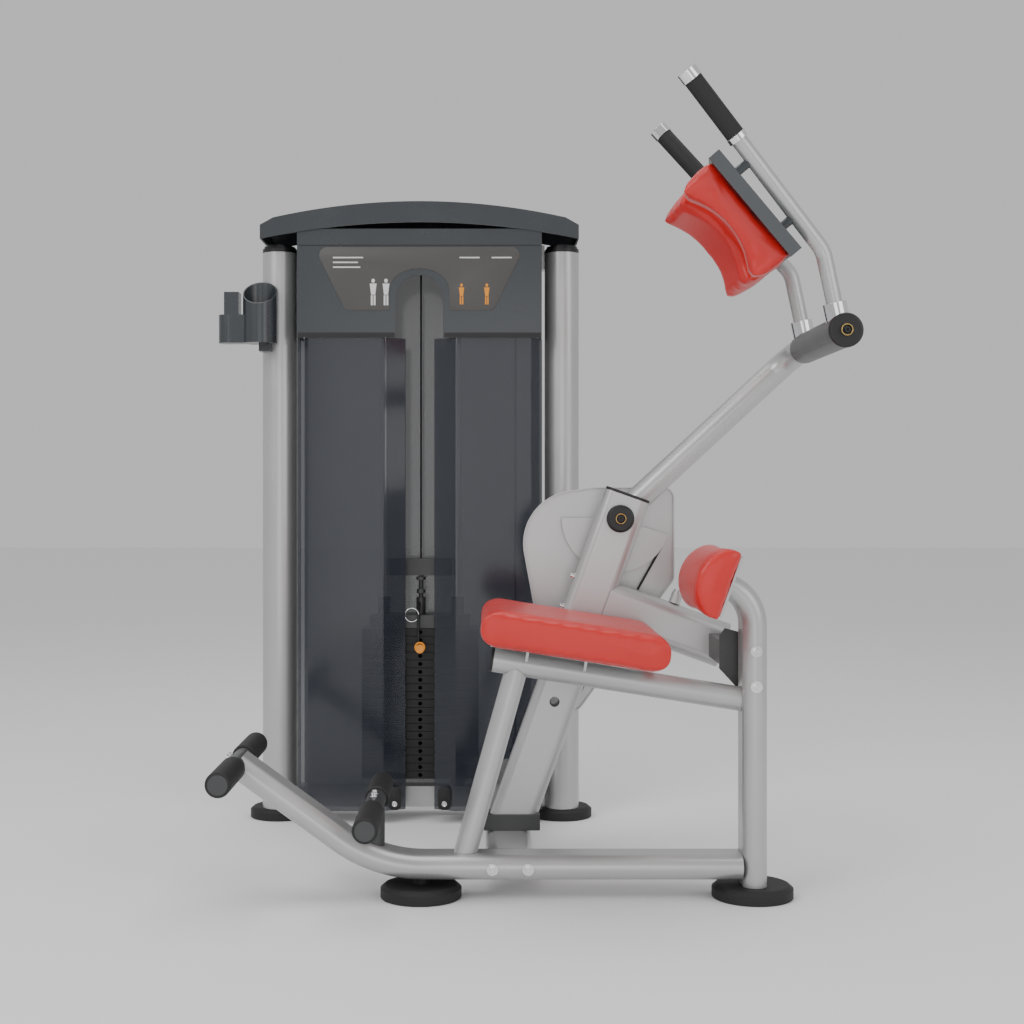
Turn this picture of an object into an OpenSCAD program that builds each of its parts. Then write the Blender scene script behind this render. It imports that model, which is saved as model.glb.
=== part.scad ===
// Abdominal crunch machine: a seat frame with a swinging arm and a weight tower beside it.
// x runs from the rear post towards the feet as negative values, y from the seat's middle
// towards the tower, z up from the floor. The origin is under the rear post, on the floor.

/* [Seat frame] */
// Width of the flat-oval frame tube
oval_w = 100; // [80:1:120]
// Thickness of the flat-oval frame tube
oval_t = 50; // [40:1:60]
// Wall of every frame tube
tube_wall = 3; // [2:0.5:5]
// Height of the base beam's middle above the floor
beam_z = 67; // [60:1:80]
// Distance from the rear post to the upper foot rollers
foot_reach = 1052; // [950:1:1200]
// Height of the upper foot rollers
foot_z = 274; // [240:1:330]
// Slope of the foot end of the base beam, in degrees
foot_slope = 36; // [30:1:40]
// Bend radius of the base beam's middle line
beam_bend_r = 295; // [200:5:320]
// Diameter of the front support tube
support_d = 47; // [40:1:60]
// Where the front support stands on the base beam
support_foot_x = -594; // [-620:1:-560]
// Where the front support meets the seat beam
support_top_x = -480; // [-500:1:-440]
// Diameter of the seat beam
seat_beam_d = 50; // [40:1:60]
// Front end of the seat beam
seat_beam_x = -530; // [-560:1:-510]
// Height of the seat beam's middle at the rear post
seat_beam_z = 401; // [370:1:430]
// Slope of the seat beam and the seat, in degrees
seat_slope = 9; // [5:0.5:12]
// Diameter of the two floor pads of the seat frame
foot_pad_d = 166; // [130:1:180]
// Height of every floor pad
foot_pad_h = 28; // [22:1:34]
// Where the front floor pad stands
front_pad_x = -678; // [-700:1:-640]

/* [Upholstery] */
// Length of the seat cushion
seat_len = 382; // [320:1:440]
// Width of the seat cushion
seat_w = 396; // [330:1:400]
// Thickness of the seat cushion
seat_t = 64; // [50:1:80]
// Distance from the rear post to the seat cushion's rear end
seat_rear = 195; // [180:1:240]
// Width of the lumbar pad
lumbar_w = 296; // [250:1:330]
// Height of the lumbar pad along its back
lumbar_h = 144; // [120:1:170]
// Thickness of the lumbar pad
lumbar_t = 68; // [55:1:80]
// Lean of the lumbar pad from upright, in degrees
lumbar_lean = 20; // [15:1:25]
// Distance from the rear post's middle to the middle of the lumbar pad's back
lumbar_x = 65; // [60:1:80]
// Height of the middle of the lumbar pad's back
lumbar_z = 642; // [620:1:680]
// Length of each shoulder pad along its back
shoulder_len = 242; // [200:1:280]
// Width of each shoulder pad
shoulder_w = 142; // [120:1:160]
// Thickness of each shoulder pad at its ends
shoulder_t = 80; // [60:1:90]
// Depth of the hollow in each shoulder pad's front
shoulder_hollow = 36; // [20:1:40]
// Distance between the middles of the shoulder pads
shoulder_pitch = 226; // [210:1:240]
// Turn of each shoulder pad towards the other, in degrees
shoulder_turn = 11; // [5:1:15]

/* [Arm and yoke] */
// Distance of the main post's foot in front of the rear post
post_foot_x = -496; // [-510:1:-470]
// Distance of the main pivot in front of the rear post
pivot_x = -253; // [-270:1:-230]
// Height of the main pivot
pivot_z = 770; // [740:1:820]
// Middle of the main post, from the seat's middle
post_y = 231; // [229:1:250]
// Length of the main post above the pivot
post_over = 52; // [50:1:70]
// Diameter of the main pivot shaft
pivot_d = 30; // [24:1:36]
// Diameter of the arm's hub
hub_d = 84; // [70:1:90]
// Diameter of the swing arm tube
arm_d = 55; // [45:1:60]
// Bend radius of the swing arm near the yoke
arm_bend_r = 70; // [60:1:90]
// Place of the yoke's axis behind the rear post
yoke_x = 144; // [110:1:170]
// Height of the yoke's axis
yoke_z = 1138; // [1090:1:1180]
// Swing of the arm from rest to its stop, in degrees
arm_swing = 55; // [40:1:60]
// Diameter of the yoke's sleeve
sleeve_d = 64; // [60:1:70]
// Length of the yoke's sleeve
sleeve_len = 382; // [360:1:400]
// Diameter of the yoke's inner shaft
yoke_shaft_d = 30; // [24:1:34]
// Diameter of each yoke tube
yoke_tube_d = 32; // [28:1:36]
// Distance between the yoke tubes at the sleeve
yoke_pitch = 322; // [310:1:340]
// Distance between the tips of the handles
tip_pitch = 482; // [450:1:500]
// Length of the rubber grip on each handle
grip_len = 133; // [110:1:150]
// Diameter of the rubber grip
grip_d = 37; // [36:0.5:42]
// Radius of the cam on the arm
cam_r = 121; // [100:1:125]
// Thickness of the cam
cam_t = 12; // [8:1:14]

/* [Foot rollers] */
// Diameter of the foot rollers
roller_d = 50; // [44:1:60]
// Length of each foot roller
roller_len = 178; // [150:1:190]
// Distance between the outer ends of a pair of rollers
roller_span = 496; // [480:1:520]
// Distance of the lower foot rollers in front of the rear post
low_roller_x = -774; // [-790:1:-740]
// Height of the lower foot rollers
low_roller_z = 187; // [180:1:200]
// Diameter of the roller axles
peg_axle_d = 20; // [16:1:24]
// Diameter of the steel sleeve between the rollers of a pair
peg_sleeve_d = 40; // [36:1:44]

/* [Tower] */
// Place of the tower's middle in front of the rear post
tower_x = -712; // [-740:1:-690]
// Distance of the tower's middle from the seat's middle
tower_y = 800; // [780:1:860]
// Distance between the middles of the two columns
column_pitch = 718; // [700:1:760]
// Width of each column
column_w = 86; // [76:1:90]
// Depth of each column
column_d = 130; // [110:1:150]
// Height of the top of the columns
column_top = 1434; // [1410:1:1480]
// Diameter of the two floor pads of the tower
tower_pad_d = 153; // [140:1:170]
// Width of the crown over the columns
crown_w = 794; // [790:1:850]
// Depth of the crown
crown_d = 190; // [180:1:210]
// Height of the crown's highest point
crown_top = 1552; // [1545:1:1600]
// Rise of the crown's arched top from its ends to its middle
crown_rise = 48; // [30:1:60]
// Height of the lower edge of the front housing
housing_z = 1213; // [1180:1:1230]
// Width of the front housing and of the shrouds
shroud_w = 610; // [600:1:616]
// Gap between the two front shrouds
shroud_slot = 76; // [60:1:90]
// Thickness of the shroud sheets
sheet_t = 4; // [3:0.5:6]

/* [Weight stack] */
// Number of weight plates under the head plate
plate_count = 19; // [10:1:20]
// Number of plates carried by the selector pin
picked = 3; // [1:1:8]
// Width of the plates
plate_w = 294; // [260:1:310]
// Depth of the plates
plate_d = 100; // [80:1:105]
// Height from one plate to the next
plate_pitch = 20; // [18:0.5:22]
// Height of the underside of the lowest plate
stack_z = 105; // [100:1:115]
// Distance between the guide rods
rod_pitch = 188; // [170:1:200]
// Diameter of the guide rods
rod_d = 20; // [16:1:24]
// Diameter of the selector stem
stem_d = 24; // [20:1:28]
// Diameter of the selector pin
pin_d = 9; // [7:0.5:10]

/* [Cable] */
// Diameter of the cable
cable_d = 5; // [4:0.5:6]
// Radius of the cable's path round each pulley
pulley_r = 36; // [32:1:40]
// Place of the cable's run down the tower's side, in front of the rear post
cable_x = -471; // [-480:1:-462]
// Height of the cable's run over the base tie
cable_z = 132; // [130:1:140]
// Height of the middle of the top pulleys
top_pulley_z = 1430; // [1415:1:1440]

/* [Hidden] */
$fn = 64;
$shy = 0;

weld_gap = 0.2;      // gap left where one welded tube is cut to another
seat_gap = 0.3;      // gap between soft or rubber pieces and what carries them
run_gap = 0.05;      // radial running clearance on every shaft
hole_gap = 0.5;      // radial clearance of rods and pins in plain holes
big = 400;           // longer than any cut needs to be
grip_ring = 12;      // length of the chrome ring under each grip
grip_cap = 18;       // length of the chrome cap on each grip

silver = [0.78, 0.78, 0.78];
dark = [0.27, 0.27, 0.28];
charcoal = [0.24, 0.26, 0.28];
rubber = [0.09, 0.09, 0.09];
red = [0.83, 0.16, 0.14];
chrome = [0.9, 0.9, 0.92];
smoke = [0.25, 0.28, 0.36];

// ---- helpers -------------------------------------------------------------
function unit(v) = v / norm(v);
function leg(p, i) = unit(p[i + 1] - p[i]);
function turn_at(p, i) = acos(leg(p, i - 1) * leg(p, i));
function cut_at(p, r, i) = (i == 0 || i == len(p) - 1) ? 0 : r * tan(turn_at(p, i) / 2);
function lerp(a, b, t) = a + (b - a) * t;

// Puts a child's x, y and z axes along the given directions, at a place
module along(at, x, y, z)
    multmatrix([[x.x, y.x, z.x, at.x], [x.y, y.y, z.y, at.y], [x.z, y.z, z.z, at.z]]) children();

// A bar that follows straight legs with round bends. Its section is the child, whose y axis
// lies along the normal n where the bar is flat. Each bend is a hair thinner than the legs
// and reaches a little way into them.
bend_shy = 0.02;
bend_lap = 0.3;
function off_axis(n, u) = norm(cross(n, u)) < 0.1 ? [1, 0, 0] : n;
module bent_bar(p, r, n = [0, 1, 0]) {
    for (i = [0:len(p) - 2]) {
        u = leg(p, i);
        x = unit(cross(off_axis(n, u), u));
        $shy = 0;
        along(p[i] + cut_at(p, r, i) * u, x, cross(u, x), u)
            linear_extrude(norm(p[i + 1] - p[i]) - cut_at(p, r, i) - cut_at(p, r, i + 1))
                children();
    }
    for (i = [1:1:len(p) - 2]) {
        u = leg(p, i - 1);
        b = unit(cross(u, leg(p, i)));
        e = cross(u, b);
        lap = bend_lap / r * 180 / PI;
        $shy = bend_shy;
        along(p[i] - cut_at(p, r, i) * u - r * e, e, u, b) rotate([0, 0, -lap])
            rotate_extrude(angle = turn_at(p, i) + 2 * lap) translate([r, 0]) children();
    }
}
module disc(d) circle(d = d - 2 * $shy);

module stadium(w, h) {
    r = min(w, h) / 2 - $shy;
    flat = abs(w - h);
    square(w > h ? [flat, 2 * r] : [2 * r, flat], center = true);
    for (s = [-1, 1]) translate(w > h ? [s * flat / 2, 0] : [0, s * flat / 2]) circle(r);
}

module round_bar(a, b, d) bent_bar([a, b], 0) disc(d);

// A cylinder along y between two places
module y_rod(x, z, y0, y1, d) translate([x, y0, z]) rotate([-90, 0, 0]) cylinder(d = d, h = y1 - y0);

module y_ring(x, z, y0, y1, d, bore) difference() {
    y_rod(x, z, y0, y1, d);
    y_rod(x, z, y0 - 1, y1 + 1, bore);
}

// A plate lying in an x-z plane, its outline the child
module y_plate(y0, t) translate([0, y0 + t, 0]) rotate([90, 0, 0]) linear_extrude(t) children();

// A socket screw head with its washer; the screw points along z, the head up
module screw_head(d = 13, washer = 24) {
    cylinder(d = washer, h = 2);
    difference() {
        translate([0, 0, 2]) cylinder(d = d, h = 7);
        translate([0, 0, 5]) cylinder(d = d * 0.5, h = 5, $fn = 6);
    }
}

// ---- seat frame ----------------------------------------------------------
foot_dir = [cos(foot_slope), 0, -sin(foot_slope)];
foot_at = [-foot_reach, 0, foot_z];
beam_corner = [-foot_reach + (foot_z - beam_z) / tan(foot_slope), 0, beam_z];
beam_path = [[-oval_t / 2 - weld_gap, 0, beam_z], beam_corner, foot_at];
seat_dir = [cos(seat_slope), 0, -sin(seat_slope)];
seat_up = [sin(seat_slope), 0, cos(seat_slope)];
seat_beam_front = [seat_beam_x, 0, seat_beam_z - seat_beam_x * tan(seat_slope)];
seat_beam_rear = [0, 0, seat_beam_z];
lumbar_n = [cos(lumbar_lean), 0, -sin(lumbar_lean)];
lumbar_up = [sin(lumbar_lean), 0, cos(lumbar_lean)];
lumbar_mid = [-lumbar_x, 0, lumbar_z];
plate_t = 5;
post_end = lumbar_mid + (plate_t + seat_gap + weld_gap) * lumbar_n;
post_turn = 90 - lumbar_lean;
post_bend_r = -post_end.x / (1 - cos(post_turn)) * 0.95;
post_corner_z = post_end.z + post_end.x * tan(lumbar_lean);

module oval_section(inset = 0) stadium(oval_t - 2 * inset, oval_w - 2 * inset);

module beam_body(grow = 0) bent_bar(beam_path, beam_bend_r) oval_section(-grow);

module peg_clear() {
    y_rod(-foot_reach, foot_z, -big, big, peg_sleeve_d + 2 * weld_gap);
}

module base_beam() color(silver) difference() {
    beam_body();
    bent_bar(beam_path, beam_bend_r) oval_section(tube_wall);
    peg_clear();
    translate([-foot_reach - big, -big, 0]) cube([big, 2 * big, big * 2]);
}

tie_x = post_foot_x;
tower_beam_y = tower_y - 25;
module base_tie() color(silver) difference() {
    tie = [[tie_x, 0, beam_z], [tie_x, tower_beam_y - weld_gap, beam_z]];
    bent_bar(tie, 0, [1, 0, 0]) stadium(oval_t, oval_w);
    bent_bar(tie, 0, [1, 0, 0]) stadium(oval_t - 2 * tube_wall, oval_w - 2 * tube_wall);
    beam_body(weld_gap);
    translate([tie_x - big / 2, -big, 0]) cube([big, big + oval_w / 4, big]);
}

support_foot = [support_foot_x, 0, beam_z];
support_top = [support_top_x, 0, seat_beam_z - support_top_x * tan(seat_slope)];
module front_support() color(silver) difference() {
    bent_bar([support_foot, support_top], 0) rotate(40) disc(support_d);
    bore = unit(support_top - support_foot);
    bent_bar([support_foot - bore, support_top + bore], 0) rotate(80) disc(support_d - 2 * tube_wall);
    bent_bar([beam_path[0], beam_corner], 0) oval_section(-weld_gap);
    round_bar(seat_beam_front, seat_beam_rear, seat_beam_d + 2 * weld_gap);
}

module post_body(grow = 0) bent_bar(
    [[0, 0, foot_pad_h + weld_gap], [0, 0, post_corner_z], post_end], post_bend_r)
    oval_section(-grow);

module seat_beam() color(silver) difference() {
    round_bar(seat_beam_front, seat_beam_rear, seat_beam_d);
    round_bar(seat_beam_front - seat_dir, seat_beam_rear + seat_dir, seat_beam_d - 2 * tube_wall);
    translate([-oval_t / 2 - weld_gap, -big, 0]) cube([big, 2 * big, 2 * big]);
}

// Heights of the two screws that hold the side rail's bracket to the rear post
rail_screws = [435, 507];
module rear_post() color(silver) difference() {
    post_body();
    post_body(-tube_wall);
    for (z = rail_screws) y_rod(0, z, -big, big, 11);
}

post_dir = unit([pivot_x - post_foot_x, 0, pivot_z - beam_z - oval_t / 2]);
post_side = [post_dir.z, 0, -post_dir.x];
post_foot = [post_foot_x, post_y, beam_z + oval_t / 2];
pivot = [pivot_x, post_y, pivot_z];
post_top = pivot + post_over * post_dir;
post_near = post_y - oval_t / 2;
post_far = post_y + oval_t / 2;
post_r = 20;   // corner radius of the main post's tube

module post_section(inset = 0) {
    r = post_r - inset;
    w = oval_w / 2 - post_r;
    t = oval_t / 2 - post_r;
    square([2 * w + 2 * r, 2 * t], center = true);
    square([2 * w, 2 * t + 2 * r], center = true);
    for (x = [-w, w], y = [-t, t]) translate([x, y]) circle(r);
}

module post_bar(from, to, inset = 0) bent_bar([from, to], 0) post_section(inset);

lock_hole = 371;  // height of the round hole through the main post
module main_post() color(silver) difference() {
    post_bar(post_foot - 30 * post_dir, post_top);
    post_bar(post_foot - 30 * post_dir, post_top + post_dir, tube_wall);
    y_rod(pivot_x, pivot_z, post_near - 1, post_far + 1, pivot_d + 2 * run_gap);
    y_rod(lerp(post_foot_x, pivot_x, (lock_hole - post_foot.z) / (pivot_z - post_foot.z)),
        lock_hole, post_near - 1, post_far + 1, 22);
    translate([post_foot_x - big / 2, post_near - 50, 0])
        cube([big, oval_t + 100, post_foot.z + weld_gap]);
}

cap_t = 6;     // thickness of the plastic tube caps
cap_lip = 14;  // how far a tube cap reaches into its tube
module tube_caps() color(rubber) {
    bent_bar([seat_beam_front - cap_t * seat_dir, seat_beam_front], 0) disc(seat_beam_d);
    bent_bar([seat_beam_front, seat_beam_front + cap_lip * seat_dir], 0)
        disc(seat_beam_d - 2 * tube_wall - 2 * weld_gap);
    post_bar(post_top, post_top + cap_t * post_dir);
    post_bar(post_top - cap_lip * post_dir, post_top, tube_wall + weld_gap);
    column_caps();
}

saddle_h = 34;   // height of the saddle bracket round the main post's foot
rail_plate_t = 8;
rail_top_z = 545;
rail_low_z = 423;
rail_plate_front = -60;
rail_front = [pivot_x - 34, post_y, 587];
rail_rear = [-26, post_y, 492];
rail_dir = unit(rail_rear - rail_front);
module joint_brackets() color(dark) {
    difference() {
        translate([tie_x - oval_w / 2 - 4, post_near - 8, post_foot.z + weld_gap])
            cube([oval_w + 22, oval_t + 16, saddle_h]);
        post_bar(post_foot - 30 * post_dir, post_top, -weld_gap);
    }
    y_plate(oval_w / 2 + weld_gap, rail_plate_t) polygon([[rail_plate_front, rail_top_z - 16],
        [rail_plate_front + 12, rail_top_z], [oval_t / 2, rail_top_z - 20],
        [oval_t / 2, rail_low_z], [-oval_t / 2, rail_low_z], [rail_plate_front, rail_low_z + 38]]);
    translate([rail_plate_front, oval_w / 2 + 1, 470])
        cube([34, post_near - oval_w / 2 - 1 - weld_gap, 50]);
}

module side_rail() color(silver) difference() {
    bent_bar([rail_front, rail_rear], 0) stadium(oval_w, oval_t);
    bent_bar([rail_front - rail_dir, rail_rear + rail_dir], 0)
        stadium(oval_w - 2 * tube_wall, oval_t - 2 * tube_wall);
    post_bar(post_foot, post_top, -weld_gap);
}

stem_r = 16;
module floor_pad(x, y, d) translate([x, y, 0]) rotate_extrude() polygon([[0, 0], [d / 2 - 2, 0],
    [d / 2, 2], [d / 2, foot_pad_h - 8], [d / 2 - 8, foot_pad_h - 1], [d / 2 - 12, foot_pad_h],
    [0, foot_pad_h]]);

module frame_feet() color(rubber) {
    floor_pad(0, 0, foot_pad_d);
    floor_pad(front_pad_x, 0, foot_pad_d);
    difference() {
        translate([front_pad_x, 0, foot_pad_h - 1]) cylinder(r = stem_r, h = beam_z - foot_pad_h);
        beam_body(weld_gap);
    }
}

peg_screw = 14;
module frame_bolts() color(chrome) {
    for (x = [tie_x - 36, tie_x + 36]) translate([x, -oval_w / 2 - weld_gap, beam_z])
        rotate([90, 0, 0]) screw_head();
    for (z = rail_screws) {
        translate([0, -oval_w / 2 - weld_gap, z]) rotate([90, 0, 0]) screw_head();
        y_rod(0, z, -oval_w / 2 - weld_gap, oval_w / 2, 10);
    }
    for (z = [560, 626]) {
        at = [lerp(post_foot_x, pivot_x, (z - post_foot.z) / (pivot_z - post_foot.z)), post_y, z]
            - (oval_w / 2 + weld_gap) * post_side;
        along(at, [0, 1, 0], post_dir, -post_side) screw_head(11, 18);
    }
    for (y = [-peg_screw, peg_screw]) {
        along([-foot_reach, y, foot_z] - (peg_sleeve_d / 2 + weld_gap) * foot_dir,
            [0, 1, 0], cross(-foot_dir, [0, 1, 0]), -foot_dir) screw_head(9, 14);
        translate([low_roller_x, y, low_roller_z + peg_sleeve_d / 2 + weld_gap]) screw_head(9, 14);
    }
}

// ---- upholstery ----------------------------------------------------------
seat_back = [-seat_rear, 0, seat_beam_z + seat_rear * tan(seat_slope)];
gusset_h = 16;                       // height of the seat's carrier over the beam's middle
seat_plate_t = 5;
seat_base = seat_back + (seat_beam_d / 2 + gusset_h) * seat_up;
module on_seat() along(seat_base, -seat_dir, [0, -1, 0], seat_up) children();

// A side view outline with equal round corners
module soft_rect(l, h, r) {
    translate([r, 0]) square([l - 2 * r, h]);
    translate([0, r]) square([l, h - 2 * r]);
    for (x = [r, l - r], y = [r, h - r]) translate([x, y]) circle(r);
}

seat_round = 26;
module seat_cushion() color(red) on_seat()
    translate([0, seat_w / 2, seat_plate_t + seat_gap]) rotate([90, 0, 0])
        linear_extrude(seat_w) soft_rect(seat_len, seat_t, seat_round);

module pad_plates() color(silver) {
    on_seat() translate([30, -seat_w / 2 + 40, 0]) cube([seat_len - 60, seat_w - 80, seat_plate_t]);
    for (at = [150, 270]) on_seat() difference() {
        translate([at, -24, -gusset_h - seat_beam_d / 2]) cube([6, 48, gusset_h + seat_beam_d / 2 - weld_gap]);
        translate([0, 0, -gusset_h - seat_beam_d / 2]) rotate([0, 90, 0])
            cylinder(d = seat_beam_d + 2 * weld_gap, h = seat_len);
    }
    along(lumbar_mid + seat_gap * lumbar_n, lumbar_up, [0, 1, 0], -lumbar_n)
        translate([-lumbar_h / 2 + 8, -lumbar_w / 2 + 20, -plate_t])
            cube([lumbar_h - 16, lumbar_w - 40, plate_t]);
}

module lumbar_outline() {
    r = (lumbar_t * lumbar_t + lumbar_h * lumbar_h / 4) / (2 * lumbar_t);
    intersection() {
        translate([-lumbar_h / 2, 0]) square([lumbar_h, lumbar_t]);
        translate([0, lumbar_t - r * 1.12]) circle(r * 1.12);
    }
}
module lumbar_pad() color(red)
    along(lumbar_mid + [0, lumbar_w / 2, 0], lumbar_up, -lumbar_n, [0, -1, 0])
        linear_extrude(lumbar_w) lumbar_outline();

// ---- pivot, guard and foot rollers ----------------------------------------
hub_gap = 4;                          // room for a washer between the post and the hub
hub_near = post_far + hub_gap;
hub_far = hub_near + 50;
arm_y = (hub_near + hub_far) / 2;
cam_near = hub_far + weld_gap;
cam_y = cam_near + cam_t / 2;
guard_y = cam_near + cam_t + 6;
guard_t = 3;
cap_d = 60;
cap_h = 12;

module pivot_shaft() color(chrome) {
    y_rod(pivot_x, pivot_z, post_near - 3, guard_y - weld_gap, pivot_d);
    y_ring(pivot_x, pivot_z, post_far + weld_gap, hub_near - weld_gap, pivot_d + 16, pivot_d + 0.2);
}

module end_cap(x, z, y, d) {
    translate([x, y, z]) rotate([90, 0, 0]) rotate_extrude() polygon([[0, 0], [d / 2, 0],
        [d / 2, cap_h - 4], [d / 2 - 2, cap_h - 1], [d / 2 - 5, cap_h], [10, cap_h],
        [9, cap_h - 2], [0, cap_h - 2]]);
    translate([x, y - cap_h + 2, z]) rotate([90, 0, 0]) screw_head(11, 17);
}
module pivot_cap() color(rubber) end_cap(pivot_x, pivot_z, post_near - 3 - weld_gap, cap_d);

module guard_outline(inset = 0) offset(delta = -inset) hull($fn = 48) {
    translate([pivot_x - 48, pivot_z + 29]) circle(40);
    translate([pivot_x + 107, pivot_z + 44]) circle(25);
    translate([pivot_x + 107, pivot_z - 130]) circle(25);
    translate([pivot_x - 108, pivot_z - 400]) circle(40);
    translate([pivot_x - 89, pivot_z - 58]) circle(120);
}
guard_post_d = 20;   // diameter of the posts that hold the guard off the main post
module cam_guard() color(silver) {
    difference() {
        y_plate(guard_y - 5, guard_t + 5) guard_outline();
        y_plate(guard_y - 6, 6) guard_outline(guard_t);
    }
    for (z = [500, 590]) y_rod(lerp(post_foot_x, pivot_x, (z - post_foot.z) / (pivot_z - post_foot.z)),
        z, post_far + weld_gap, guard_y + 1, guard_post_d);
}

// A stub with a rubber head, standing on the side rail
stub_d = 25;
stub_foot = rail_front + rail_dir * 146;
stub_up = unit(cross(cross(rail_dir, [0, 0, 1]), rail_dir));
module rest_stop() color(silver) along(stub_foot + (oval_w / 2 + weld_gap) * stub_up,
    unit(cross([0, 1, 0], stub_up)), cross(stub_up, unit(cross([0, 1, 0], stub_up))), stub_up) {
    cylinder(d = stub_d, h = 22);
    translate([0, 0, 22]) cylinder(d1 = stub_d, d2 = stub_d - 6, h = 8);
}

sleeve_half = roller_span / 2 - roller_len - 2;
low_stem_d = 44;
module peg_axle(x, z) {
    y_rod(x, z, -sleeve_half, sleeve_half, peg_sleeve_d);
    for (s = [-1, 1]) y_rod(x, z, min(s * (roller_span / 2 - 6), 0), max(s * (roller_span / 2 - 6), 0),
        peg_axle_d);
}
module peg_axles() color(dark) {
    peg_axle(-foot_reach, foot_z);
    peg_axle(low_roller_x, low_roller_z);
    difference() {
        translate([low_roller_x, 0, beam_z + oval_t / 2])
            cylinder(d = low_stem_d, h = low_roller_z - beam_z - oval_t / 2);
        beam_body(weld_gap);
    }
}

// A rubber roller turning on its axle; side is -1 for the near one and 1 for the far one
module roller(x, z, side) color(rubber) translate([x, side * (roller_span / 2 - roller_len), z])
    rotate([-90 * side, 0, 0]) difference() {
        rotate_extrude() polygon([[0, 0], [roller_d / 2 - 3, 0], [roller_d / 2, 3],
            [roller_d / 2, roller_len - 4], [roller_d / 2 - 1.2, roller_len - 1.2],
            [roller_d / 2 - 4, roller_len], [0, roller_len]]);
        translate([0, 0, -1]) cylinder(d = peg_axle_d + 2 * run_gap, h = roller_len - 4);
    }
module roller_upper_near() roller(-foot_reach, foot_z, -1);
module roller_upper_far() roller(-foot_reach, foot_z, 1);
module roller_lower_near() roller(low_roller_x, low_roller_z, -1);
module roller_lower_far() roller(low_roller_x, low_roller_z, 1);

// ---- arm -------------------------------------------------------------------
sleeve_far = sleeve_len / 2 - 8;
sleeve_near = -sleeve_len / 2 - 8;
arm_tip_y = sleeve_far + 3;
bush_t = 4;
arm_path = [[pivot_x, arm_y, pivot_z], [yoke_x, arm_y, yoke_z], [yoke_x, arm_tip_y, yoke_z]];
arm_bore = [arm_path[0], arm_path[1] - (arm_bend_r + 10) * leg(arm_path, 0)];
module swing_arm() color(silver) {
    y_ring(pivot_x, pivot_z, hub_near, hub_far, hub_d, pivot_d + 2 * bush_t + 0.2);
    difference() {
        bent_bar(arm_path, arm_bend_r) disc(arm_d);
        bent_bar(arm_bore, 0) disc(arm_d - 2 * tube_wall);
        y_rod(pivot_x, pivot_z, hub_near - 10, hub_far + 10, hub_d - 2);
        y_rod(yoke_x, yoke_z, arm_tip_y - 1, arm_tip_y + 12.2, yoke_shaft_d + 0.2);
    }
    
}

module arm_bushes() color([0.75, 0.6, 0.3]) for (s = [0, 1])
    y_ring(pivot_x, pivot_z, s ? hub_far - 18 : hub_near + 0.1, s ? hub_far - 0.1 : hub_near + 18,
        pivot_d + 2 * bush_t, pivot_d + 2 * run_gap);

cam_gone = 18;       // angle of the cam's straight edge under level, in degrees
pivot_reach = norm([pivot_z - cable_z, pivot_x - cable_x]);
pivot_to_cable = atan2(pivot_z - cable_z, pivot_x - cable_x);
cable_angle = 90 - (pivot_to_cable - asin(cam_r / pivot_reach));
module cam_section() polygon([[hub_d / 2 - 8, -cam_t / 2], [cam_r - 8, -cam_t / 2],
    [cam_r + 2, -cam_t / 2], [cam_r + 2, -cable_d / 2 - 0.4], [cam_r - cable_d / 2 - 0.4, -cable_d / 2 - 0.4],
    [cam_r - cable_d / 2 - 0.4, cable_d / 2 + 0.4], [cam_r + 2, cable_d / 2 + 0.4],
    [cam_r + 2, cam_t / 2], [hub_d / 2 - 8, cam_t / 2]]);
module arm_cam() color(silver) {
    translate([pivot_x, cam_y, pivot_z]) rotate([90, 0, 0]) rotate([0, 0, -180])
        rotate_extrude(angle = 180 - cam_gone) cam_section();
    y_ring(pivot_x, pivot_z, cam_near, cam_near + cam_t, hub_d - 4, pivot_d + 1);
}

// ---- yoke --------------------------------------------------------------------
module yoke_shaft() color(chrome)
    y_rod(yoke_x, yoke_z, sleeve_near - 2, arm_tip_y + 12, yoke_shaft_d);
module shaft_cap() color(rubber) end_cap(yoke_x, yoke_z, sleeve_near - 2 - weld_gap, sleeve_d + 3);

sleeve_wall = 5;
yoke_lean = 12;        // lean of the yoke's lower legs from upright, in degrees
yoke_slope = 50;       // slope of the handles, in degrees
yoke_leg = 162;        // length of the yoke's lower legs from the axis to the bend
yoke_grip_reach = 428; // length of the handles from the bend to the tip
yoke_t = [-cos(yoke_slope), 0, sin(yoke_slope)];
yoke_n = [-sin(yoke_slope), 0, -cos(yoke_slope)];
yoke_bend = [yoke_x - yoke_leg * sin(yoke_lean), 0, yoke_z + yoke_leg * cos(yoke_lean)];
splay = (tip_pitch - yoke_pitch) / 2;
function leg_foot(s) = [yoke_x, s * yoke_pitch / 2, yoke_z];
function leg_bend(s) = yoke_bend + [0, s * yoke_pitch / 2, 0];
function leg_tip(s) = leg_bend(s) + yoke_grip_reach * yoke_t + [0, s * splay, 0];
function handle_dir(s) = unit(leg_tip(s) - leg_bend(s));
collar_d = 47;
collar_h = 26;

module yoke_sleeve() color(dark)
    y_ring(yoke_x, yoke_z, sleeve_near, sleeve_far, sleeve_d, sleeve_d - 2 * sleeve_wall);

module yoke_bushes() color([0.75, 0.6, 0.3]) for (s = [0, 1])
    y_ring(yoke_x, yoke_z, s ? sleeve_far - 30 : sleeve_near + 0.2,
        s ? sleeve_far - 0.2 : sleeve_near + 30, sleeve_d - 2 * sleeve_wall - 0.2,
        yoke_shaft_d + 2 * run_gap);

module sleeve_clear() y_rod(yoke_x, yoke_z, sleeve_near - 1, sleeve_far + 1, sleeve_d + 2 * weld_gap);

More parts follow.
